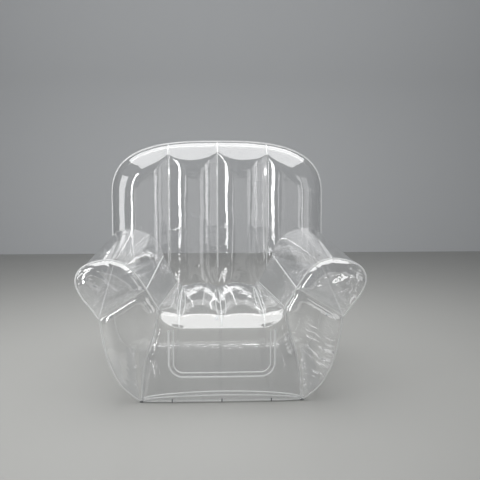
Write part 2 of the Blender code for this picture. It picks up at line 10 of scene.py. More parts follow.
import bpy
import numpy as np
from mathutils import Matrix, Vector

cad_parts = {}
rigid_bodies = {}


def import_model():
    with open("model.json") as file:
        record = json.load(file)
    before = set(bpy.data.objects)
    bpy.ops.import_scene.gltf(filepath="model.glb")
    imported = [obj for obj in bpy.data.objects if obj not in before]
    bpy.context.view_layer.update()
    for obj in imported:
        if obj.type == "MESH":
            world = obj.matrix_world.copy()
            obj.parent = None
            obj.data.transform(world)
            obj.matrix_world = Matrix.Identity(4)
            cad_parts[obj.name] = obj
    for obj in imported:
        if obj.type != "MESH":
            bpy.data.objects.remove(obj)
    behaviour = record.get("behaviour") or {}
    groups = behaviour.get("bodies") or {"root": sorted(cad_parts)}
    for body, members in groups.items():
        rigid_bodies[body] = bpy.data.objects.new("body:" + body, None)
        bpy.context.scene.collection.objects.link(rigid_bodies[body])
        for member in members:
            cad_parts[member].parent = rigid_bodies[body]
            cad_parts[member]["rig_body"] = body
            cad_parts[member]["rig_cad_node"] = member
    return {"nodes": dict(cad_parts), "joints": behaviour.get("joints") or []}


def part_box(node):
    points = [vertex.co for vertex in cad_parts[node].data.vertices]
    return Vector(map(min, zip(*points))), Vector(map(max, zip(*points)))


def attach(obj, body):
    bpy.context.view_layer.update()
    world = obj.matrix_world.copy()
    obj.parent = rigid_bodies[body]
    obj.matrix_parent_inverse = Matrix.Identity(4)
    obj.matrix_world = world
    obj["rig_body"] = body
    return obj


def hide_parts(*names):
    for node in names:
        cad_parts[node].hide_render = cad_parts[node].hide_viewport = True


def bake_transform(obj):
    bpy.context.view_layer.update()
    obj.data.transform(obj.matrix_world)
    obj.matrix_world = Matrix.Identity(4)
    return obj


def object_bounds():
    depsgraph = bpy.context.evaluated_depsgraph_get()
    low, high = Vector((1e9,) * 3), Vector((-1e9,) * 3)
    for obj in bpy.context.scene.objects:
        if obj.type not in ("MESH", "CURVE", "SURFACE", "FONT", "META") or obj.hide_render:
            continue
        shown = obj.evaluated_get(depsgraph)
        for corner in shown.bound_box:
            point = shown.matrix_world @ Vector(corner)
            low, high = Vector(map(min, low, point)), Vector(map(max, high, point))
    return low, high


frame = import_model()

cad_low, cad_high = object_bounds()

# Overall sizes, from the frame
film_thickness = 0.0005
web_thickness = 0.0004
chair_depth = cad_high.y - cad_low.y - film_thickness
chair_height = cad_high.z - film_thickness / 2
arm_reach = cad_high.x
arm_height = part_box("arm_right_front_cap")[1].z

# How the films keep clear of each other at their welds
floor_level = 0.0015
edge_pull = 0.0007
cap_gap = 0.0008
rear_gap = 0.0016
web_pull = 0.0009
seat_web_pull = 0.0010
merge_distance = 0.00005

# Backrest
back_half_width = 0.48
back_shoulder_height = 0.70
back_corner_power = 2.9
back_rise = chair_height - back_shoulder_height
back_crown_half_depth = 0.125
back_valley_half_depth = 0.092
back_edge_radius = 0.125
back_seam_spacing = 0.222
back_lean = 0.035
back_lean_power = 1.5
back_floor_half_width = 0.37
back_foot_height = 0.20
back_foot_power = 2.2
back_foot_radius = 0.08
back_foot_depth_share = 0.8
back_channel_start = 0.20
back_channel_full = 0.42
back_web_foot = 0.40
back_web_head_room = 0.05
seam_tightness = 0.55
seam_tight_start = 0.6
seam_tight_rise = 0.2

# Seat and base
seat_height = 0.352
seat_rear_height = 0.335
seat_dimple = 0.020
seat_dimple_start = 2.2
front_seam_height = 0.288
front_seam_flat = 0.14
seat_seam_spacing = 0.160
seat_web_foot_spacing = 0.187
seat_web_front_room = 0.038
seat_web_rear_room = 0.09
front_bulge = 0.032
front_fall = 0.030
base_floor_half_width = 0.300
edge_blend_power = 4
wall_rear_floor_x = 0.29
baffle_half_width = 0.195
baffle_foot = 0.105
baffle_head = 0.280
baffle_corner_radius = 0.05
baffle_bulge = 0.012
baffle_gap = 0.0012
baffle_weld_spacing = 0.016
panel_crease_foot = 0.006
panel_crease_rise = 0.036
seat_crease_half_width = 0.024
seat_crease_taper = 0.60
foot_tick_foot = 0.002
foot_tick_height = 0.013

# Arms
arm_rear_height = arm_height + 0.039
arm_rear_waist_x = 0.247
arm_rear_waist_height = arm_height - 0.084
arm_rear_seat_x = 0.185
arm_rear_inset = 0.002
arm_tip_x = 0.312
waist_web_room = 0.012
cap_edge_radius = 0.052
cap_waist_radius = 0.030
cap_waist_dome = 0.45

# Welds
flange_width = 0.0045
flange_thickness = 0.0009
seam_width = 0.0035
bead_thickness = 0.0008
bead_lift = 0.0008
waist_weld_room = 0.003

# Films: how near their edges the folds fade out, and how near a valve and how far the points round its hole are
# drawn in. A sine that spaces a grid's points stops short of its end.
fold_free_edge = 0.004
hole_rim_reach = 1.7
hole_rim_pull = 0.8
short_of_end = 0.999

# Outlines, as shares of arm_reach and arm_height: the roll from the outer seam over the top to the waist seam, the
# inner wall from the waist seam down to the floor, and the outer side from that outer seam down.
ROLL_FRONT_SHARES = ((0.847, 0.596), (0.891, 0.661), (0.959, 0.750), (0.998, 0.843), (0.980, 0.920),
                     (0.913, 0.972), (0.790, 1.000), (0.689, 0.981), (0.614, 0.924), (0.555, 0.848), (0.523, 0.796))
WALL_FRONT_SHARES = ((0.523, 0.796), (0.482, 0.726), (0.444, 0.657), (0.446, 0.600), (0.455, 0.545), (0.470, 0.481),
                     (0.490, 0.417), (0.518, 0.330), (0.536, 0.240), (0.547, 0.150), (0.552, 0.070))
SIDE_FRONT_SHARES = ((0.847, 0.596), (0.835, 0.500), (0.820, 0.410), (0.797, 0.310), (0.757, 0.205), (0.705, 0.115),
                     (0.640, 0.050))
# The same roll where it meets the backrest, as shares of back_half_width and arm_rear_height.
ROLL_REAR_SHARES = ((1.0, 0.690), (1.0, 0.760), (1.0, 0.830), (1.0, 0.895), (0.982, 0.945), (0.933, 0.978),
                    (0.835, 1.000), (0.735, 0.990), (0.632, 0.952), (0.546, 0.869), (0.515, 0.788))
WALL_REAR_UPPER_SHARES = (0.0, 0.52, 1.0)
WALL_REAR_LOWER_SHARES = (0.0, 0.10, 0.20, 0.31, 0.42, 0.56, 0.70, 0.84, 0.94, 1.0)
WALL_SEAT_ROW = len(WALL_REAR_UPPER_SHARES) - 1
# Centre lines of the front panel and of the seat's front edge, as shares of front_bulge and of their rise.
PANEL_FRONT_SHARES = ((0.46, 0.0), (0.72, 0.10), (0.89, 0.22), (0.97, 0.36), (1.0, 0.50), (1.0, 0.63), (0.99, 0.73),
                      (0.98, 0.83), (0.96, 0.92), (0.94, 1.0))
SEAT_FRONT_SHARES = ((0.94, 0.0), (0.48, 0.22), (-0.04, 0.43), (-0.80, 0.63))
SEAT_FRONT_EDGE_SHARES = (0.0, 0.015, 0.035, 0.07)
FOOT_ROW_POWER = 1.5
LEAST_FACING_SHARE = 0.15

front_plane = -chair_depth / 2 + front_bulge


def smooth_step(share):
    share = min(max(share, 0.0), 1.0)
    return share * share * (3 - 2 * share)


def round_over(share):
    """Quarter ellipse: 0 at the edge, 1 from one radius in."""
    share = min(max(share, 0.0), 1.0)
    return sqrt(1 - (1 - share) ** 2)


def superellipse(share, power):
    return (1 - min(share, 1.0) ** power) ** (1 / power)


def line_at(points, share):
    """Point of a smooth curve through the given ones, which are spaced evenly in share."""
    place = min(max(share, 0.0), 1.0) * (len(points) - 1)
    index = min(int(place), len(points) - 2)
    t = place - index
    b, c = points[index], points[index + 1]
    a = points[index - 1] if index else 2 * b - c
    d = points[index + 2] if index + 2 < len(points) else 2 * c - b
    return 0.5 * (2 * b + (c - a) * t + (2 * a - 5 * b + 4 * c - d) * t * t + (3 * b - a - 3 * c + d) * t ** 3)


def pairs(shares, width=1.0, height=1.0):
    return [Vector((x * width, z * height)) for x, z in shares]


# The backrest's shape

def back_half_width_at(height):
    if height < back_foot_height:
        spread = back_half_width - back_floor_half_width
        return back_floor_half_width + spread * superellipse(1 - max(height, 0.0) / back_foot_height, back_foot_power)
    if height <= back_shoulder_height:
        return back_half_width
    return back_half_width * superellipse((height - back_shoulder_height) / back_rise, back_corner_power)


def back_top(x):
    return back_shoulder_height + back_rise * superellipse(abs(x) / back_half_width, back_corner_power)


def back_edge_distance(x, height):
    """Distance in from the backrest's outline."""
    if height <= back_shoulder_height:
        return back_half_width_at(height) - abs(x)
    across = abs(x) / back_half_width
    up = (height - back_shoulder_height) / back_rise
    ring = (across ** back_corner_power + up ** back_corner_power) ** (1 / back_corner_power)
    slope = hypot(across ** (back_corner_power - 1) / back_half_width, up ** (back_corner_power - 1) / back_rise)
    return (1 - ring) / (slope * ring ** (1 - back_corner_power))


def channel_dip(x, spacing):
    """1 on a seam, 0 midway between two seams, and 0 beyond half a channel outside the last seam."""
    x = abs(x)
    if x <= spacing:
        return (2 * x / spacing - 1) ** 2
    return max(0.0, 1 - 2 * (x - spacing) / spacing) ** 2


def back_middle(height):
    below = max(0.0, 1 - height / back_shoulder_height)
    return chair_depth / 2 - back_crown_half_depth - back_lean * below ** back_lean_power


def back_half_depth(x, height):
    channel = smooth_step((height - back_channel_start) / (back_channel_full - back_channel_start))
    dip = channel * channel_dip(x, back_seam_spacing)
    depth = back_crown_half_depth - (back_crown_half_depth - back_valley_half_depth) * dip
    foot = back_foot_depth_share + (1 - back_foot_depth_share) * round_over(height / back_foot_radius)
    # A seam draws the film tight, so its valley rounds over sooner at the top than the crowns beside it
    radius = back_edge_radius * (1 - seam_tightness * dip * smooth_step((height - seam_tight_start) / seam_tight_rise))
    return max(edge_pull, depth * foot * round_over(back_edge_distance(x, height) / radius))


def back_front_y(x, height):
    return back_middle(height) - back_half_depth(x, height)


def back_rear_y(x, height):
    return back_middle(height) + back_half_depth(x, height)


def arm_end_y(x, height):
    facing = max(back_half_depth(x, height) / back_crown_half_depth, LEAST_FACING_SHARE)
    return back_front_y(x, height) - rear_gap / facing


# The arm's sections on the +X side, each a list of (x, height) at its front and at its rear end

roll_front = pairs(ROLL_FRONT_SHARES, arm_reach, arm_height)
roll_rear = pairs(ROLL_REAR_SHARES, back_half_width, arm_rear_height)
roll_rear = [Vector((min(point.x, back_half_width - arm_rear_inset), point.y)) for point in roll_rear]
roll_rear[-1] = Vector((arm_rear_waist_x, arm_rear_waist_height))
wall_front = pairs(WALL_FRONT_SHARES, arm_reach, arm_height) + [Vector((base_floor_half_width, floor_level))]
side_front = pairs(SIDE_FRONT_SHARES, arm_reach, arm_height) + [Vector((arm_tip_x, floor_level))]
waist_rear = Vector((arm_rear_waist_x, arm_rear_waist_height))
seat_rear = Vector((arm_rear_seat_x, seat_rear_height))
foot_rear = Vector((wall_rear_floor_x, floor_level))
wall_rear = [waist_rear.lerp(seat_rear, share) for share in WALL_REAR_UPPER_SHARES]
wall_rear += [seat_rear.lerp(foot_rear, share) for share in WALL_REAR_LOWER_SHARES[1:]]


def curve(points):
    return lambda share: line_at(points, share)


roll_front_at, roll_rear_at = curve(roll_front), curve(roll_rear)
wall_front_at, wall_rear_at = curve(wall_front), curve(wall_rear)
side_front_at = curve(side_front)


def side_rear_at(share):
    height = floor_level + (roll_rear[0].y - floor_level) * (1 - share) ** FOOT_ROW_POWER
    return Vector((back_half_width_at(height) - arm_rear_inset, height))


def arm_place(front, rear, share):
    """Point of an arm's film: straight from its place on the front cap to its place on the backrest."""
    point = front.lerp(rear, share)
    start = front_plane + cap_gap
    return Vector((point.x, start + (arm_end_y(rear.x, rear.y) - start) * share, point.y))


def on_side(point, side):
    return Vector((side * point.x, point.y, point.z))


# The seat's and the front panel's shape

SEAT_TOP_STEPS = 9
SEAT_FRONT_STEPS = len(SEAT_FRONT_SHARES) - 1
seat_front_line = pairs(SEAT_FRONT_SHARES)
panel_line = pairs(PANEL_FRONT_SHARES)
panel_edge = list(reversed(wall_front[WALL_SEAT_ROW:]))


def edge_blend(share):
    return sqrt(max(0.0, 1 - min(abs(share), 1.0) ** edge_blend_power))


def corner_blend(x, edge):
    share = (abs(x) - front_seam_flat) / (edge - front_seam_flat)
    return sqrt(1 - min(max(share, 0.0), 1.0) ** 2)


def place_across(across, edge):
    """x of a place across the seat: +-1 on a seam and +-2 on the side edge."""
    share = abs(across)
    x = seat_seam_spacing * share if share <= 1 else seat_seam_spacing + (edge - seat_seam_spacing) * (share - 1)
    return copysign(x, across)


def seat_edge(share):
    """Side edge of the seat on the +X side: from the top of the front seam back along the arm."""
    point = wall_front[WALL_SEAT_ROW].lerp(wall_rear[WALL_SEAT_ROW], share)
    start = front_plane - cap_gap
    rear = back_front_y(arm_rear_seat_x, seat_rear_height) - rear_gap
    return Vector((point.x - edge_pull, start + (rear - start) * share, point.y))


def seat_share(row):
    if row <= SEAT_FRONT_STEPS:
        index = min(int(row), SEAT_FRONT_STEPS - 1)
        first, second = SEAT_FRONT_EDGE_SHARES[index:index + 2]
        return first + (second - first) * (row - index)
    start = SEAT_FRONT_EDGE_SHARES[-1]
    return start + (1 - start) * (row - SEAT_FRONT_STEPS) / SEAT_TOP_STEPS


def seat_centre(row, x):
    """(y, height) of the seat's surface away from its side edges."""
    rise = seat_height - front_seam_height
    proud, up = line_at(seat_front_line, min(row / SEAT_FRONT_STEPS, 1.0))
    y = front_plane - proud * front_bulge
    height = front_seam_height + rise * up
    if row <= SEAT_FRONT_STEPS:
        return y, height
    share = (row - SEAT_FRONT_STEPS) / SEAT_TOP_STEPS
    rear = back_front_y(0.0, seat_rear_height)
    end = rear + (back_front_y(x, seat_rear_height) - rear) * share ** 4 - rear_gap
    top = seat_height - (seat_height - seat_rear_height) * share ** 2
    return y + (end - y) * share, top + (height - seat_height) * max(0.0, 1 - 3 * share) ** 2


def seat_point(across, row):
    edge = seat_edge(seat_share(row))
    x = place_across(across, edge.x)
    y, height = seat_centre(row, x)
    blend = edge_blend(x / edge.x)
    share = abs(across)
    dip = (2 * share - 1) ** 2 if share <= 1 else max(0.0, 1 - 2 * (share - 1)) ** 2
    height -= seat_dimple * dip * smooth_step((row - seat_dimple_start) / SEAT_FRONT_STEPS)
    front = max(0.0, 1 - row)
    rise_blend = blend + (corner_blend(x, edge.x) - blend) * front
    height = edge.z + (height - edge.z) * rise_blend + edge_pull * front
    x -= copysign(edge_pull * front * (1 - rise_blend), x)
    return Vector((x, edge.y + (y - edge.y) * blend, height))


def panel_point(across, share):
    """Point of the front panel, from the floor at share 0 to the front seam at share 1."""
    edge = line_at(panel_edge, share)
    proud, up = line_at(panel_line, share)
    edge_x = edge.x - edge_pull
    x = place_across(across, edge_x)
    centre_height = floor_level + (front_seam_height - floor_level) * up
    height = edge.y + (centre_height - edge.y) * corner_blend(x, edge_x)
    start = front_plane - cap_gap
    y = start - (start - front_plane + proud * front_bulge) * edge_blend(x / edge_x)
    return Vector((x, y, height))


def panel_point_at(x, height):
    """Point of the front panel at a place across and a height, on the flat part of its front seam."""
    low, high = 0.0, 1.0
    for _ in range(20):
        share = (low + high) / 2
        if floor_level + (front_seam_height - floor_level) * line_at(panel_line, share).y < height:
            low = share
        else:
            high = share
    edge_x = line_at(panel_edge, share).x - edge_pull
    beyond = (abs(x) - seat_seam_spacing) / (edge_x - seat_seam_spacing)
    across = copysign(1 + beyond if beyond > 0 else abs(x) / seat_seam_spacing, x)
    return Vector((x, panel_point(across, share).y, height))


# Puckers and folds: each gives how far to move a grid's points along its normals

def steady_noise(place, seed, count=1024):
    """Smooth random values between -1 and 1, one for each whole number."""
    knots = np.random.default_rng(seed).uniform(-1, 1, count)
    index = np.floor(place).astype(int)
    t = place - index
    t = t * t * (3 - 2 * t)
    return knots[index % count] * (1 - t) + knots[(index + 1) % count] * t


def run_lengths(points, axis):
    """Distance travelled along one direction of a grid of points."""
    steps = np.linalg.norm(np.diff(points, axis=axis), axis=2)
    zero = np.zeros_like(np.take(steps, [0], axis=axis))
    return np.concatenate([zero, np.cumsum(steps, axis=axis)], axis=axis)


def near(points, spot):
    """1 at the spot's centre, fading out over its radius."""
    if spot is None:
        return 1.0
    centre, radius = spot
    away = np.linalg.norm(points - np.array(centre), axis=2)
    return np.exp(-(away / radius) ** 2)


def pucker(edge, depth, reach, pitch, seed, spot=None):
    """Gathers along one edge of a grid: first or last column, first or last row."""
    def fold(points):
        axis = 1 if "column" in edge else 0
        away = run_lengths(points, axis)
        along = run_lengths(points, 1 - axis)
        if "last" in edge:
            away = np.take(away, [-1], axis=axis) - away
        middle = along[:, [along.shape[1] // 2]] if axis == 1 else along[[along.shape[0] // 2], :]
        place = middle / pitch + 0.35 * steady_noise(away / (2.5 * pitch), seed + 2)
        length = reach * (0.35 + np.abs(steady_noise(middle / (0.7 * pitch), seed + 1)))
        crease = 1 - 2 * np.abs(steady_noise(place, seed))
        rise = np.clip(away / (0.35 * pitch), 0, 1)
        return depth * crease * rise * np.exp(-away / length) * near(points, spot)
    return fold


def side_puckers(depth, reach, pitch, seed):
    return [pucker(f"{end} column", depth, reach, pitch, seed + place) for place, end in enumerate(("first", "last"))]


def crumple(direction, depth, pitch, seed, spot):
    """Sharp folds that run square to a direction, round one spot."""
    def fold(points):
        along = points @ np.array(Vector(direction).normalized())
        side = np.cross(Vector(direction).normalized(), (0.3, 0.5, 0.8))
        across = points @ (side / np.linalg.norm(side))
        place = along / pitch + 1.2 * steady_noise(across / (4 * pitch), seed + 1)
        crease = 1 - 2 * np.abs(steady_noise(place, seed))
        strength = 0.5 + 0.5 * steady_noise(across / (1.5 * pitch), seed + 2)
        return depth * crease * strength * near(points, spot)
    return fold


def ribs(direction, depth, pitch, seed):
    """Long even streaks that run square to a direction, as film drawn from its roll keeps."""
    def fold(points):
        along = points @ np.array(direction)
        fine = steady_noise(along / pitch, seed) + 0.5 * steady_noise(along / (0.37 * pitch), seed + 1)
        return depth * fine
    return fold


def ridge(line, depth, width):
    """A fold line: a shallow ridge where line(x) gives its height."""
    def fold(points):
        away = points[:, :, 2] - line(points[:, :, 0])
        return depth * (np.exp(-(away / width) ** 2) - 0.6 * np.exp(-((away + 2 * width) / width) ** 2))
    return fold


def sway(depth, seed, shortest=0.06, longest=0.17):
    """Long shallow waves, as film under even pressure still has."""
    def fold(points):
        draw = np.random.default_rng(seed)
        total = np.zeros(points.shape[:2])
        for _ in range(7):
            way = draw.normal(size=3)
            way /= np.linalg.norm(way)
            total += np.sin(points @ way * 2 * pi / draw.uniform(shortest, longest) + draw.uniform(0, 2 * pi))
        return depth * total / 3
    return fold


# Makers

def settle(points, folds):
    """Moves a grid's points along its normals by the folds, and leaves its edges where they are."""
    if not folds:
        return points
    normal = np.cross(np.gradient(points, axis=1), np.gradient(points, axis=0))
    length = np.linalg.norm(normal, axis=2, keepdims=True)
    normal = normal / np.maximum(length, 1e-12)
    shift = sum(fold(points) for fold in folds)
    fade = np.ones(points.shape[:2])
    for axis in (0, 1):
        away = run_lengths(points, axis)
        away = np.minimum(away, np.take(away, [-1], axis=axis) - away)
        fade *= np.clip(away / fold_free_edge, 0, 1)
    return points + normal * (shift * fade)[:, :, None]


def deselect():
    for thing in bpy.context.selected_objects:
        thing.select_set(False)


def finish_film(thing, thickness):
    """Welds a film's doubled points and gives it its wall."""
    bpy.ops.object.mode_set(mode="EDIT")
    bpy.ops.mesh.select_all(action="SELECT")
    bpy.ops.mesh.remove_doubles(threshold=merge_distance)
    bpy.ops.mesh.normals_make_consistent(inside=False)
    bpy.ops.object.mode_set(mode="OBJECT")
    wall = thing.modifiers.new("Wall", "SOLIDIFY")
    wall.thickness = thickness
    wall.offset = 0
    bpy.ops.object.modifier_apply(modifier=wall.name)
    bpy.ops.object.shade_smooth_by_angle(angle=radians(40))


def measure(points):
    """Width, length and area of the flat sheet that a grid of points is made of."""
    across, along = np.diff(points, axis=1)[:-1], np.diff(points, axis=0)[:, :-1]
    area = np.linalg.norm(np.cross(across, along), axis=2).sum()
    return run_lengths(points, 1)[:, -1].max(), run_lengths(points, 0)[-1].max(), area


def film(name, columns, rows, place, material, thickness=film_thickness, folds=(), hole=None):
    """A sheet of film: a grid whose points place gives from two shares, folded, then given its wall."""
    deselect()
    bpy.ops.mesh.primitive_grid_add(x_subdivisions=columns, y_subdivisions=rows, size=2)
    thing = bpy.context.object
    thing.name = name
    points = np.array([[place(column / columns, row / rows) for column in range(columns + 1)]
                       for row in range(rows + 1)])
    points = settle(points, folds)
    measure(points)
    flat = np.empty(len(thing.data.vertices) * 3, np.float32)
    thing.data.vertices.foreach_get("co", flat)
    flat = flat.reshape(-1, 3)
    column = np.rint((flat[:, 0] + 1) / 2 * columns).astype(int)
    row = np.rint((flat[:, 1] + 1) / 2 * rows).astype(int)
    thing.data.vertices.foreach_set("co", points[row, column].astype(np.float32).ravel())
    runs = np.stack([run_lengths(points, 1)[row, column], run_lengths(points, 0)[row, column]], axis=1)
    corners = np.empty(len(thing.data.loops), np.int32)
    thing.data.loops.foreach_get("vertex_index", corners)
    thing.data.uv_layers.active.data.foreach_set("uv", runs[corners].astype(np.float32).ravel())
    if hole:
        cut_hole(thing, *hole)
    thing.data.materials.append(material)
    finish_film(thing, thickness)
    return thing


def cut_hole(thing, centre, radius):
    """Takes out the film round a valve and draws the cut edge to a circle, which the valve's flange covers."""
    bpy.ops.object.mode_set(mode="EDIT")
    bpy.ops.mesh.select_all(action="DESELECT")
    bpy.ops.object.mode_set(mode="OBJECT")
    for vertex in thing.data.vertices:
        vertex.select = (vertex.co - centre).length < radius
    bpy.ops.object.mode_set(mode="EDIT")
    bpy.ops.mesh.select_mode(type="VERT")
    bpy.ops.mesh.delete(type="VERT")
    bpy.ops.object.mode_set(mode="OBJECT")
    for vertex in thing.data.vertices:
        away = vertex.co - centre
        if away.length < hole_rim_reach * radius:
            vertex.co = centre + away * (radius / away.length) ** hole_rim_pull


def take_over(piece, slot, *nodes):
    """Makes a piece ride on the chair's main body and stand for the CAD nodes it replaces."""
    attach(piece, "chair")
    if nodes:
        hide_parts(*nodes)
    return piece


def outer_film(name, columns, rows, place, node, material, folds=(), hole=None):
    """A film of the chair's outside, which the air inside fills out."""
    piece = film(name, columns, rows, place, material, folds=folds, hole=hole)
    take_over(piece, "clear_film", node)


def inner_sheet(name, columns, rows, place, node, thickness=web_thickness, folds=()):
    """A welded inner sheet, which the air pressure pulls tight between the films it joins."""
    piece = take_over(film(name, columns, rows, place, web_vinyl, thickness, folds), "inner_web_film", node)


def flange(name, path, steps, width=flange_width, thickness=flange_thickness, inner=0.001, lift=None, material=None):
    """A welded edge along a path, which gives a point and the way out from the film for a share of its length.

    A lift makes the strip a bead that stands proud along its middle."""
    places = [path(step / steps) for step in range(steps + 1)]
    columns = 6 if lift else 3

    def place(u, v):
        point, outward = places[round(v * steps)]
        spot = point + outward.normalized() * (u * (width + inner) - inner)
        if lift:
            spot += Vector(lift) * sin(pi * u)
        return Vector((spot.x, spot.y, max(spot.z, thickness)))

    return take_over(film(name, columns, steps, place, material or weld, thickness), "inner_web_film")


# Materials

def hex_colour(text):
    """Linear colour of an sRGB hex value."""
    channels = [int(text[i:i + 2], 16) / 255 for i in (1, 3, 5)]
    return tuple(c / 12.92 if c <= 0.04045 else ((c + 0.055) / 1.055) ** 2.4 for c in channels) + (1.0,)


def add(material, kind, values=None, links=None, **settings):
    """Adds a node with its settings, its sockets' values and the outputs that feed them."""
    made = material.node_tree.nodes.new(kind)
    for name, value in settings.items():
        setattr(made, name, value)
    for socket, value in (values or {}).items():
        made.inputs[socket].default_value = value
    for socket, source in (links or {}).items():
        material.node_tree.links.new(source, made.inputs[socket])
    return made


def start_material(name):
    material = bpy.data.materials.new(name)
    material.use_nodes = True
    material.node_tree.nodes.clear()
    return material


def part_solid(material, share, tint, body, roughness, ior, relief, strength, depth):
    """Makes a material of clear vinyl that holds a share of solid vinyl with a relief."""
    bump = add(material, "ShaderNodeBump", {"Strength": strength, "Distance": depth},
               {"Height": relief.outputs["Fac"]})
    clear = add(material, "ShaderNodeBsdfTransparent", {"Color": hex_colour(tint)})
    solid = add(material, "ShaderNodeBsdfPrincipled", {"Base Color": hex_colour(body), "Roughness": roughness,
                                                       "IOR": ior}, {"Normal": bump.outputs["Normal"]})
    whole = add(material, "ShaderNodeMixShader", {0: share}, {1: clear.outputs[0], 2: solid.outputs[0]})
    add(material, "ShaderNodeOutputMaterial", links={"Surface": whole.outputs[0]})
    return material


def vinyl_film(name, mirror, haze, wave_depth, roughness=0.025):
    """Calendered clear PVC film, IOR 1.54: it passes nearly all light, mirrors sharply, most of all at a glancing
    angle, and a little plasticiser haze makes it faintly milky."""
    material = start_material(name)
    place = add(material, "ShaderNodeTexCoord").outputs["Object"]
    # Waves of a calendered film under pressure, about 35 mm apart and some tenths of a millimetre deep
    waves = add(material, "ShaderNodeTexNoise", {"Scale": 28.0, "Detail": 2.0, "Roughness": 0.45}, {"Vector": place})
    bump = add(material, "ShaderNodeBump", {"Strength": 1.0, "Distance": wave_depth},
               {"Height": waves.outputs["Fac"]})
    facing = add(material, "ShaderNodeLayerWeight", {"Blend": 0.5}, {"Normal": bump.outputs["Normal"]})
    steep = add(material, "ShaderNodeMath", {1: 5.0}, {0: facing.outputs["Facing"]}, operation="POWER")
    share = add(material, "ShaderNodeMath", {1: 1 - mirror, 2: mirror}, {0: steep.outputs[0]},
                operation="MULTIPLY_ADD", use_clamp=True)
    clear = add(material, "ShaderNodeBsdfTransparent", {"Color": hex_colour("#FEFEFE")})
    gloss = add(material, "ShaderNodeBsdfGlossy", {"Color": hex_colour("#FFFFFF"), "Roughness": roughness},
                {"Normal": bump.outputs["Normal"]})
    milk = add(material, "ShaderNodeBsdfDiffuse", {"Color": hex_colour("#EFF1F2")})
    skin = add(material, "ShaderNodeMixShader", {0: haze}, {1: clear.outputs[0], 2: milk.outputs[0]})
    whole = add(material, "ShaderNodeMixShader", links={0: share.outputs[0], 1: skin.outputs[0], 2: gloss.outputs[0]})
    add(material, "ShaderNodeOutputMaterial", links={"Surface": whole.outputs[0]})
    return material


def weld_vinyl():
    """Film fused by a ribbed sealing bar: whiter than the clear film. The ribs across the seam are drawn 3.2 mm apart,
    coarser than a real bar's, so that they show."""
    material = start_material("sealed_vinyl_weld")
    place = add(material, "ShaderNodeUVMap").outputs["UV"]
    ribs = add(material, "ShaderNodeTexWave", {"Scale": 98.0, "Distortion": 0.4}, {"Vector": place},
               bands_direction="Y")
    return part_solid(material, 0.78, "#FBFBFB", "#FAFBFB", 0.12, 1.75, ribs, 0.6, 0.0003)


def moulded_vinyl(name, tint, body, share):
    """Soft moulded PVC: milky and less glossy than film, with a fine uneven skin of about 1 mm grain."""
    material = start_material(name)
    place = add(material, "ShaderNodeTexCoord").outputs["Object"]
    grain = add(material, "ShaderNodeTexNoise", {"Scale": 900.0, "Detail": 2.0}, {"Vector": place})
    return part_solid(material, share, tint, body, 0.28, 1.52, grain, 0.3, 0.0001)


skin_vinyl = vinyl_film("clear_vinyl_film", mirror=0.085, haze=0.010, wave_depth=0.0006)
# Drawn tight over the arms' ends, where rims and wrinkles show hard white highlights
cap_vinyl = vinyl_film("clear_vinyl_cap_film", mirror=0.140, haze=0.022, wave_depth=0.0006)
# The rear and bottom films mirror less, so that the streaks of the films in front of them stay clear
rear_vinyl = vinyl_film("clear_vinyl_rear_film", mirror=0.024, haze=0.010, wave_depth=0.0003)
# Matt calendered film, which doesn't mirror a lamp as a sharp dot
web_vinyl = vinyl_film("inner_vinyl_web", mirror=0.035, haze=0.016, wave_depth=0.0004, roughness=0.16)
weld = weld_vinyl()
valve_vinyl = moulded_vinyl("moulded_soft_vinyl", "#F1F3F4", "#E0E5E8", 0.62)
# Ends of the floor welds, where layers of film are fused thick: their dark grey colour is painted shade, standing in
# for the light that leaves them sideways
painted_shade_weld_end = moulded_vinyl("weld_end_painted_shade", "#C0C2C4", "#6A6C6E", 0.80)


# Backrest

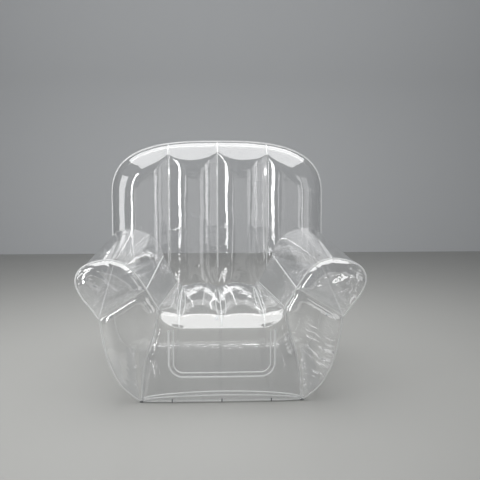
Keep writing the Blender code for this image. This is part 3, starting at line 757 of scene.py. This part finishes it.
def make_back():
    waist_blend = arm_rear_waist_x - arm_rear_seat_x

    def front_bottom(x):
        share = min(max((abs(x) - arm_rear_seat_x) / waist_blend, 0.0), 1.0)
        return seat_rear_height + edge_pull + (arm_rear_waist_height - seat_rear_height) * share

    def across(u):
        """Finer in the round of the side edges."""
        return back_half_width * sin((2 * u - 1) * pi / 2 * short_of_end)

    def climb(bottom, top, v):
        return bottom + (top - bottom) * sin(v * pi / 2 * short_of_end)

    def front(u, v):
        x = across(u)
        height = climb(front_bottom(x), back_top(x), v)
        return Vector((x, back_front_y(x, height), height))

    def rear(u, v):
        x = across(u)
        height = climb(floor_level, back_top(x), v)
        if height < back_foot_height:
            x *= back_half_width_at(height) / back_half_width
        return Vector((x, back_rear_y(x, height), height))

    corner = ((0.30, 0.32, 0.90), 0.16)
    low_corner = ((0.24, 0.22, 0.42), 0.09)
    outer_film("back_front_skin", 200, 120, front, "back_front_film", skin_vinyl, (
        sway(0.00025, 11),
        ribs((1.0, 0.0, 0.06), 0.00028, 0.030, 19),
        pucker("last row", 0.0011, 0.016, 0.011, 12),
        pucker("last row", 0.0016, 0.020, 0.010, 13, corner),
        *side_puckers(0.0009, 0.018, 0.014, 14),
        pucker("first row", 0.0016, 0.030, 0.022, 16),
        crumple((0.8, 0.1, 0.5), 0.0022, 0.020, 17, low_corner),
        crumple((-0.8, 0.1, 0.5), 0.0012, 0.024, 18, ((-0.24, 0.22, 0.42), 0.07)),
    ))
    low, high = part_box("back_valve_stem")
    valve = Vector((0, back_rear_y(0, (low.z + high.z) / 2), (low.z + high.z) / 2))
    outer_film("back_rear_skin", 200, 150, rear, "back_rear_film", rear_vinyl, hole=(valve, 0.006), folds=(
        sway(0.00010, 21),
        ribs((1.0, 0.0, 0.03), 0.00012, 0.034, 29),
        pucker("last row", 0.0011, 0.016, 0.011, 22),
        *side_puckers(0.0009, 0.018, 0.014, 24),
        pucker("first row", 0.0012, 0.024, 0.018, 26),
    ))

    for name, x in (("left", -back_seam_spacing), ("centre", 0.0), ("right", back_seam_spacing)):
        def web(u, v, x=x):
            height = back_web_foot + (back_top(x) - back_web_head_room - back_web_foot) * v
            reach = back_half_depth(x, height) - web_pull
            sag = 0.0006 * sin(5 * pi * v) * sin(pi * u)
            return Vector((x + sag, back_middle(height) + reach * (2 * u - 1), height))

        inner_sheet(f"back_web_sheet_{name}", 24, 90, web, f"back_web_{name}")
        for face, surface, way in (("front", back_front_y, -1), ("rear", back_rear_y, 1)):
            def seam(share, x=x, surface=surface, way=way):
                height = back_web_foot + (back_top(x) - 0.002 - back_web_foot) * sin(share * pi / 2)
                return Vector((x - seam_width / 2, surface(x, height) + way * 0.0002, height)), Vector((1, 0, 0))

            lift = (0, way * bead_lift, 0)
            flange(f"back_{face}_seam_weld_{name}", seam, 90, seam_width, bead_thickness, 0, lift)

    def outline(share):
        """Round the backrest's edge from the left floor corner over the top to the right one."""
        side = -1 if share < 0.5 else 1
        place = 2 * min(share, 1 - share)
        straight = 0.62
        if place < straight:
            height = floor_level + (back_shoulder_height - floor_level) * place / straight
            x = back_half_width_at(height)
        else:
            angle = (place - straight) / (1 - straight) * pi / 2
            x = back_half_width * max(cos(angle), 0.0) ** (2 / back_corner_power)
            height = back_shoulder_height + back_rise * sin(angle) ** (2 / back_corner_power)
        return Vector((side * x, back_middle(height), height))

    def edge(share):
        step = 0.002
        along = outline(min(share + step, 1.0)) - outline(max(share - step, 0.0))
        outward = along.cross(Vector((0, 1, 0)))
        point = outline(share)
        if outward.dot(point - Vector((0, point.y, 0.5))) < 0:
            outward = -outward
        outward.y = 0
        return point, outward

    flange("back_edge_weld", edge, 260)

    def rear_floor(share):
        turn = pi * 0.98
        x = back_floor_half_width * sin((share - 0.5) * turn)
        return Vector((x, back_rear_y(x, floor_level) - 0.001, floor_level)), Vector((0, 1, 0))

    flange("back_floor_weld", rear_floor, 80, 0.005, 0.0012, 0.001)


# Seat and base

def make_seat():
    last_row = SEAT_FRONT_STEPS + SEAT_TOP_STEPS
    rows = np.append(np.linspace(0, SEAT_FRONT_STEPS, 31), np.linspace(SEAT_FRONT_STEPS, last_row, 81)[1:])

    def seat(u, v):
        return seat_point(4 * u - 2, float(rows[round(v * (len(rows) - 1))]))

    outer_film("seat_skin", 140, len(rows) - 1, seat, "seat_film", skin_vinyl, (
        sway(0.0001, 31),
        *side_puckers(0.0020, 0.030, 0.017, 32),
        pucker("last row", 0.0016, 0.030, 0.020, 34),
        crumple((0.7, 0.6, 0.2), 0.0022, 0.016, 35, ((0.225, -0.36, 0.34), 0.06)),
        crumple((-0.7, 0.6, 0.2), 0.0022, 0.016, 36, ((-0.225, -0.36, 0.34), 0.06)),
    ))

    def panel(u, v):
        return panel_point(4 * u - 2, v)

    def crease_height(x):
        return panel_crease_foot + panel_crease_rise * np.sqrt(np.clip(1 - (x / base_floor_half_width) ** 2, 0, 1))

    outer_film("base_front_skin", 150, 130, panel, "base_front_film", skin_vinyl, (
        sway(0.0002, 41),
        ridge(crease_height, 0.0022, 0.0035),
        ridge(lambda x: crease_height(x) * 0.72, 0.0016, 0.0030),
        *side_puckers(0.0012, 0.020, 0.018, 42),
        pucker("first row", 0.0008, 0.012, 0.020, 44),
    ))

    side_end = back_middle(0.0)
    foot_reach = back_foot_depth_share * back_crown_half_depth - rear_gap
    front_edge = panel_point(0.0, 0.0).y + cap_gap

    def bottom(u, v):
        straight = 0.85
        if v <= straight:
            y = front_edge + (side_end - front_edge) * v / straight
            half = base_floor_half_width + (back_floor_half_width - base_floor_half_width) * v / straight
        else:
            angle = pi / 2 * (v - straight) / (1 - straight)
            y = side_end + foot_reach * sin(angle)
            half = back_floor_half_width - back_edge_radius * (1 - cos(angle))
        return Vector((half * (2 * u - 1), y, film_thickness / 2))

    outer_film("base_bottom_skin", 40, 60, bottom, "base_bottom_film", rear_vinyl)

    front = front_plane + seat_web_front_room
    rear = back_front_y(0.0, seat_rear_height) - seat_web_rear_room
    for name, side in (("left", -1), ("centre", 0), ("right", 1)):
        valley = np.array([seat_point(side, row) for row in np.linspace(SEAT_FRONT_STEPS, last_row, 60)])

        def web(u, v, side=side, valley=valley):
            y = front + (rear - front) * u
            top = np.interp(y, valley[:, 1], valley[:, 2]) - seat_web_pull
            height = floor_level + (top - floor_level) * v
            spread = seat_web_foot_spacing + (seat_seam_spacing - seat_web_foot_spacing) * v
            sag = 0.0015 * sin(8 * pi * u) * sin(pi * v)
            return Vector((side * spread + sag, y, height))

        inner_sheet(f"seat_web_sheet_{name}", 70, 40, web, f"seat_web_{name}")

        def seam(share, side=side):
            point = seat_point(side, 0.1 + (last_row - 1.6) * share)
            return point + Vector((-seam_width / 2, -0.0001, 0.0003)), Vector((1, 0, 0))

        flange(f"seat_seam_weld_{name}", seam, 120, seam_width, bead_thickness, 0, (0, -0.0003, bead_lift))

        def drop(share, side=side):
            """Crease round the gathered film along a seat seam: a long drop, wide at the front."""
            angle = 2 * pi * share
            back = (1 - cos(angle)) / 2
            half = seat_crease_half_width * sin(angle) * (1 - seat_crease_taper * back)
            point = seat_point(side + half / seat_seam_spacing, SEAT_FRONT_STEPS - 0.6 + (SEAT_TOP_STEPS - 0.6) * back)
            return point + Vector((0, 0, 0.0005)), Vector((copysign(1, half), 0, 0))

        flange(f"seat_seam_crease_{name}", drop, 120, 0.0024, bead_thickness, 0, (0, 0, 0.0012))

    def baffle(u, v):
        height = baffle_foot + (baffle_head - baffle_foot) * v
        corner = 1 - min((height - baffle_foot) / baffle_corner_radius, 1.0)
        half = baffle_half_width - baffle_corner_radius * (1 - sqrt(1 - corner ** 2))
        flat = (1 - (2 * u - 1) ** 4) * (1 - (2 * v - 1) ** 4)
        return panel_point_at(half * (2 * u - 1), height) + Vector((0, baffle_gap + baffle_bulge * flat, 0))

    inner_sheet("front_baffle_sheet", 80, 50, baffle, "front_baffle",
                folds=side_puckers(0.0014, 0.03, 0.02, 51))

    def frame_line(share):
        """The baffle's weld: down one side, along the bottom and up the other."""
        radius = baffle_corner_radius
        up = baffle_head - baffle_foot - radius
        across = 2 * (baffle_half_width - radius)
        turn = radius * pi / 2
        run = share * (2 * up + across + 2 * turn)
        side = -1
        if run > up + turn + across / 2:
            run = 2 * up + across + 2 * turn - run
            side = 1
        if run < up:
            x, height, way = baffle_half_width, baffle_head - run, (1, 0)
        elif run < up + turn:
            angle = (run - up) / radius
            way = (cos(angle), -sin(angle))
            x = baffle_half_width - radius + radius * way[0]
            height = baffle_foot + radius + radius * way[1]
        else:
            x, height, way = baffle_half_width - radius - (run - up - turn), baffle_foot, (0, -1)
        point = panel_point_at(side * x, height)
        return point - Vector((0, 0.0004, 0)), Vector((side * way[0], 0, way[1]))

    def inner_line(share):
        point, way = frame_line(share)
        return point - way.normalized() * baffle_weld_spacing, way

    flange("front_baffle_weld_outer", frame_line, 160, 0.0070, bead_thickness, 0, (0, -0.0026, 0))
    flange("front_baffle_weld_inner", inner_line, 160, 0.0050, bead_thickness, 0, (0, -0.0022, 0))

    for piece, rise in (("upper", 1.0), ("lower", 0.62)):
        def crease_line(share, rise=rise):
            x = base_floor_half_width * 0.985 * sin((share - 0.5) * pi)
            point = panel_point_at(x, float(crease_height(x)) * rise)
            return point - Vector((0, 0.0008, 0)), Vector((0, 0, 1))

        flange(f"base_crease_{piece}", crease_line, 120, 0.0050, bead_thickness, 0, (0, -0.0020, 0))

    def front_seam(share):
        point = panel_point(4 * share - 2, 1.0)
        return point + Vector((0, 0.0005, 0)), Vector((0, -1, 0.15))

    flange("seat_front_weld", front_seam, 120, 0.003, bead_thickness, 0.001, (0, -0.0002, bead_lift))

    def floor_seam(share):
        point = panel_point(4 * share - 2, 0.0)
        return point + Vector((0, 0.0005, 0)), Vector((0, -1, 0.55))

    flange("base_floor_weld", floor_seam, 120, 0.008, 0.0009, 0.001, (0, -0.0010, 0.0020))

    for number, x in enumerate((-seat_web_foot_spacing, 0.0, seat_web_foot_spacing)):
        def foot_tick(share, x=x):
            point = panel_point_at(x, foot_tick_foot + foot_tick_height * share)
            return point + Vector((-0.0025, -0.0060, 0)), Vector((1, 0, 0))

        # Each tick is coloured dark grey with painted shade
        flange(f"base_foot_tick_{number}", foot_tick, 6, 0.0030, 0.0012, 0, (0, -0.0012, 0), painted_shade_weld_end)
    for name, side in (("left", -1), ("right", 1)):
        def corner_tab(share, side=side):
            point = Vector((side * (base_floor_half_width - 0.002 + 0.012 * share), front_plane - 0.002, 0.0018))
            return point, Vector((0, -1, 0))

        # Each corner tab is coloured dark grey with painted shade
        flange(f"base_corner_tab_{name}", corner_tab, 6, 0.010, 0.0022, 0.002, material=painted_shade_weld_end)


# Arms

def make_arm(name, side, seed):
    def strip(piece, front_at, rear_at, columns, rows, node, folds=(), hole=None):
        def place(u, v):
            return on_side(arm_place(front_at(v), rear_at(v), u), side)

        outer_film(f"{name}_{piece}", columns, rows, place, f"{name}_{node}", skin_vinyl, folds, hole)

    top_outer = ((side * 0.50, front_plane, 0.50), 0.10)
    strip("roll_skin", roll_front_at, roll_rear_at, 130, 90, "roll_film", folds=(
        sway(0.0003, seed),
        pucker("first column", 0.0016, 0.022, 0.013, seed + 1),
        pucker("first column", 0.0048, 0.040, 0.017, seed + 2, top_outer),
        pucker("last column", 0.0014, 0.030, 0.020, seed + 3),
        pucker("first row", 0.0012, 0.020, 0.020, seed + 4),
        pucker("last row", 0.0016, 0.030, 0.024, seed + 5),
    ))
    strip("inner_wall_skin", wall_front_at, wall_rear_at, 120, 90, "inner_wall", folds=(
        sway(0.0003, seed + 10),
        pucker("first column", 0.0014, 0.022, 0.016, seed + 11),
        pucker("first row", 0.0020, 0.035, 0.024, seed + 12),
        pucker("last column", 0.0018, 0.035, 0.024, seed + 13),
        crumple((side * 0.3, 0.6, 0.7), 0.0018, 0.024, seed + 14, ((side * 0.235, 0.02, 0.41), 0.10)),
    ))
    low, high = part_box(f"{name}_valve_stem")
    valve = Vector(((low.x + high.x) / 2, (low.y + high.y) / 2, (low.z + high.z) / 2))
    strip("side_skin", side_front_at, side_rear_at, 130, 80, "side_film", folds=(
        sway(0.0003, seed + 20),
        pucker("first column", 0.0014, 0.024, 0.015, seed + 21),
        pucker("last column", 0.0012, 0.024, 0.018, seed + 22),
        pucker("first row", 0.0010, 0.020, 0.022, seed + 23),
        pucker("last row", 0.0014, 0.022, 0.018, seed + 24),
    ), hole=(valve, 0.008))

    steps = 300
    outline = [roll_front_at(i / steps) for i in range(steps + 1)]
    outline += [wall_front_at(i / steps) for i in range(1, steps + 1)]
    outline += [side_front_at(1 - i / steps) for i in range(steps + 1)]
    ring = np.array([[point.x, point.y] for point in outline])
    waist = np.array([[roll_front[-1].x, roll_front[-1].y], [roll_front[0].x, roll_front[0].y]])

    def cap(u, v):
        low_share = 0.62
        if v <= low_share:
            place = 1 - v / low_share
            inner, outer = wall_front_at(place), side_front_at(place)
        else:
            place = (v - low_share) / (1 - low_share) / 2
            inner, outer = roll_front_at(1 - place), roll_front_at(place)
        point = inner.lerp(outer, u)
        here = np.array([point.x, point.y])
        edge = sqrt(((ring - here) ** 2).sum(axis=1).min())
        along = np.clip((here - waist[0]) @ (waist[1] - waist[0]) / ((waist[1] - waist[0]) ** 2).sum(), 0, 1)
        pinch = np.linalg.norm(here - waist[0] - along * (waist[1] - waist[0]))
        waist_dome = cap_waist_dome + (1 - cap_waist_dome) * round_over(pinch / cap_waist_radius)
        dome = round_over(edge / cap_edge_radius) * waist_dome
        return on_side(Vector((point.x, front_plane - front_fall * dome, point.y)), side)

    low_inner = ((side * 0.27, front_plane, 0.17), 0.11)
    low_outer = ((side * 0.42, front_plane, 0.14), 0.11)
    tight = 1.7 if side > 0 else 0.8
    slack = 0.4 if side > 0 else 1.1
    outer_film(f"{name}_cap_skin", 90, 170, cap, f"{name}_front_cap", cap_vinyl, (
        sway(0.0003, seed + 30),
        ribs((1.0, 0.0, 0.25), 0.00025, 0.024, seed + 37),
        pucker("first column", 0.0012, 0.022, 0.014, seed + 31),
        pucker("last column", 0.0014, 0.022, 0.013, seed + 32),
        pucker("first column", 0.0026 * tight, 0.055, 0.018, seed + 33, low_inner),
        pucker("last column", 0.0030 * tight, 0.060, 0.015, seed + 34, low_outer),
        pucker("last column", 0.0040 * slack, 0.045, 0.017, seed + 38, top_outer),
        crumple((side * 0.4, 0, 0.9), 0.0022 * tight, 0.019, seed + 35, ((side * 0.36, front_plane, 0.16), 0.12)),
        crumple((side * -0.5, 0, 0.8), 0.0026 * slack, 0.024, seed + 36, top_outer),
    ))

    room = waist_web_room / chair_depth

    def web(u, v):
        across = waist_weld_room + (1 - 2 * waist_weld_room) * v
        front, rear = roll_front[0].lerp(roll_front[-1], across), roll_rear[0].lerp(roll_rear[-1], across)
        point = on_side(arm_place(front, rear, room + (1 - 2 * room) * u), side)
        return point + Vector((0, 0, 0.002 * sin(7 * pi * u) * sin(pi * v)))

    inner_sheet(f"{name}_waist_sheet", 80, 30, web, f"{name}_waist_web")

    def web_end(share):
        return web(0.0, share), Vector((0, 1, 0))

    flange(f"{name}_waist_end_weld", web_end, 40, 0.004, bead_thickness, 0, (0, 0, 0.0010))

    top = arm_rear_waist_height - rear_gap

    def rear_wall(u, v):
        height = floor_level + (top - floor_level) * v
        share = (height - floor_level) / (seat_rear_height - floor_level)
        if share <= 1:
            inner = wall_rear_floor_x + (arm_rear_seat_x - wall_rear_floor_x) * share
        else:
            rise = (height - seat_rear_height) / (arm_rear_waist_height - seat_rear_height)
            inner = arm_rear_seat_x + (arm_rear_waist_x - arm_rear_seat_x) * rise + rear_gap
        outer = back_half_width_at(height)
        x = inner + (outer - inner) * sin(u * pi / 2)
        return on_side(Vector((x, back_front_y(x, height), height)), side)

    inner_sheet(f"{name}_rear_sheet", 36, 50, rear_wall, f"{name}_rear_wall",
                film_thickness)

    roll_end = 0.4
    roll_centre = Vector((0.40, 0.40))

    def cap_edge(share):
        """Round the cap, with the way out turned away from the roll's middle, and past the roll to the other side."""
        index = round(share * (len(outline) - 1))
        point = outline[index]
        along = outline[min(index + 3, len(outline) - 1)] - outline[max(index - 3, 0)]
        outward = Vector((along.y, -along.x))
        if share >= roll_end or outward.dot(point - roll_centre) < 0:
            outward = -outward
        return on_side(Vector((point.x, front_plane, point.y)), side), Vector((side * outward.x, 0, outward.y))

    flange(f"{name}_cap_weld", cap_edge, 300, 0.005, bead_thickness, 0.001, (0, -0.0018, 0))

    def long_seam(front, rear, outward):
        def seam(share):
            return on_side(arm_place(front, rear, share), side), Vector((side * outward[0], 0, outward[1]))
        return seam

    flange(f"{name}_outer_weld", long_seam(roll_front[0], roll_rear[0], (1, -0.35)), 60, 0.004)
    flange(f"{name}_waist_weld", long_seam(roll_front[-1], roll_rear[-1], (-1, 0.2)), 60, 0.0035)
    seat_line = long_seam(wall_front[WALL_SEAT_ROW], wall_rear[WALL_SEAT_ROW], (-0.5, 1))
    flange(f"{name}_seat_weld", seat_line, 60, 0.003)

    def rear_line(share):
        point = roll_rear_at(share)
        y = arm_end_y(point.x, point.y)
        return on_side(Vector((point.x, y, point.y)), side), Vector((0, -1, 0))

    flange(f"{name}_rear_weld", rear_line, 60, 0.003)


# Valves

def dress_valve(piece):
    piece.data.materials.clear()
    piece.data.materials.append(valve_vinyl)


def make_valves():
    """Gives the valves their vinyl, and puts a copy of each strap, in the same vinyl, where its CAD strap was."""
    for name in ("back_valve", "arm_left_valve", "arm_right_valve"):
        for piece in ("stem", "plug", "flap"):
            dress_valve(frame["nodes"][f"{name}_{piece}"])
        node = frame["nodes"][f"{name}_strap"]
        deselect()
        strap = node.copy()
        strap.data = node.data.copy()
        strap.name = f"{name}_tether"
        bpy.context.scene.collection.objects.link(strap)
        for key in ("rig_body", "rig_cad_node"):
            if key in strap:
                del strap[key]
        strap.parent = None
        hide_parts(f"{name}_strap")
        dress_valve(strap)
        joint = next(j for j in frame["joints"] if j["name"] == f"{name}_plug_pull")
        axis = Vector(joint["axis"])
        reach = [Vector(vertex.co).dot(axis) for vertex in strap.data.vertices]
        middle = sum((Vector(vertex.co) for vertex in strap.data.vertices), Vector()) / len(reach)
        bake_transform(strap)


# Stage, light and camera

def make_stage():
    floor_paint = start_material("matt_grey_floor")
    place = add(floor_paint, "ShaderNodeTexCoord").outputs["Object"]
    cloud = add(floor_paint, "ShaderNodeTexNoise", {"Scale": 1.3, "Detail": 3.0}, {"Vector": place})
    tone = add(floor_paint, "ShaderNodeMix", {6: hex_colour("#9C9C99"), 7: hex_colour("#A6A6A3")},
               {0: cloud.outputs["Fac"]}, data_type="RGBA")
    shader = add(floor_paint, "ShaderNodeBsdfPrincipled", {"Roughness": 0.42}, {"Base Color": tone.outputs[2]})
    add(floor_paint, "ShaderNodeOutputMaterial", links={"Surface": shader.outputs[0]})
    wall_paint = start_material("matt_grey_wall")
    shader = add(wall_paint, "ShaderNodeBsdfPrincipled", {"Base Color": hex_colour("#CACCCE"), "Roughness": 0.8})
    add(wall_paint, "ShaderNodeOutputMaterial", links={"Surface": shader.outputs[0]})
    for name, place, tilt, length, paint in (("floor", (0, -8.3, -0.0006), 0, 23.5, floor_paint),
                                             ("backdrop", (0, 3.45, 3), pi / 2, 6, wall_paint)):
        deselect()
        bpy.ops.mesh.primitive_plane_add(size=1, location=place, rotation=(tilt, 0, 0))
        plane = bpy.context.object
        plane.name = name
        plane.scale = (40, length, 1)
        plane.data.materials.append(paint)


# Each lamp's name, place, aim, width, height and radiance. The camera doesn't see a lamp, only the film mirrors it.
LAMPS = (
    ("overhead_softbox", (0.0, 0.0, 2.175), (0.0, -0.42, 0.22), 2.8, 3.07, 2.6),
    ("left_strip", (-1.55, -1.65, 1.08), (0.0, 0.2, 0.7), 0.30, 1.54, 7.5),
    ("left_foot_strip", (-1.55, -1.65, 0.15), (0.0, 0.2, 0.4), 0.10, 0.07, 8.0),
    ("right_strip", (1.45, -1.75, 0.8), (0.0, 0.2, 0.5), 0.34, 1.4, 1.2),
    ("left_softbox", (-2.4, -0.2, 1.0), (0.0, 0.0, 0.7), 1.2, 1.5, 2.6),
    ("right_softbox", (2.3, -1.5, 1.0), (0.0, 0.0, 0.7), 1.1, 1.4, 0.8),
    ("rear_softbox", (0.0, 2.9, 1.45), (0.0, 0.0, 0.5), 2.0, 0.6, 0.5),
    ("rear_low_strip", (0.05, 3.2, 0.69), (0.0, 0.0, 0.4), 1.1, 0.04, 3.0),
    ("rear_left_softbox", (-1.1, 3.1, 1.36), (-0.4, 0.0, 0.5), 0.25, 0.22, 1.6),
    ("right_low_softbox", (1.2, -2.6, 0.45), (0.2, 0.0, 0.4), 0.50, 0.7, 0.8),
    ("right_low_spot", (0.8, -3.0, 0.08), (0.3, 0.0, 0.2), 0.22, 0.08, 3.2),
    ("left_low_softbox", (-1.25, -2.6, 0.4), (-0.2, 0.0, 0.4), 0.12, 0.5, 1.6),
    ("front_fill", (0.3, -3.6, 0.35), (0.0, 0.0, 0.5), 3.2, 0.5, 0.4),
    ("wall_wash", (0.0, 1.3, 2.9), (0.0, 3.45, 0.7), 5.0, 0.5, 3.0),
)


def add_lamp(name, place, aim, width, height, radiance):
    lamp = bpy.data.lights.new(name, "AREA")
    lamp.shape = "RECTANGLE"
    lamp.size = width
    lamp.size_y = height
    lamp.energy = radiance * pi * width * height
    thing = bpy.data.objects.new(name, lamp)
    bpy.context.scene.collection.objects.link(thing)
    thing.location = place
    thing.rotation_euler = (Vector(aim) - Vector(place)).to_track_quat("-Z", "Y").to_euler()
    thing.visible_camera = False


def make_light_and_camera():
    for lamp in LAMPS:
        add_lamp(*lamp)
    scene = bpy.context.scene
    scene.world = bpy.data.worlds.new("studio")
    scene.world.use_nodes = True
    background = scene.world.node_tree.nodes["Background"]
    background.inputs["Color"].default_value = hex_colour("#A4A6A9")
    background.inputs["Strength"].default_value = 0.5

    # Camera fitted to the chair's outline in the photograph. Its focal length is in the photograph's pixels, and it
    # looks down and to the right by these degrees.
    picture_width = 480
    focal_pixels = 850
    sensor = 36
    look_down = 7.4
    look_right = 2.66
    camera = bpy.data.cameras.new("camera")
    camera.sensor_width = sensor
    camera.lens = focal_pixels / picture_width * sensor
    thing = bpy.data.objects.new("camera", camera)
    scene.collection.objects.link(thing)
    thing.location = (-0.077, -3.565, 1.02)
    thing.rotation_euler = (radians(90 - look_down), 0, radians(-look_right))
    scene.camera = thing
    scene.view_settings.view_transform = "Standard"
    # Light passes many layers of film
    scene.cycles.transparent_max_bounces = 64
    scene.cycles.max_bounces = 16
    scene.cycles.glossy_bounces = 8


make_back()
make_seat()
make_arm("arm_left", -1, 100)
make_arm("arm_right", 1, 200)
make_valves()
make_stage()
make_light_and_camera()
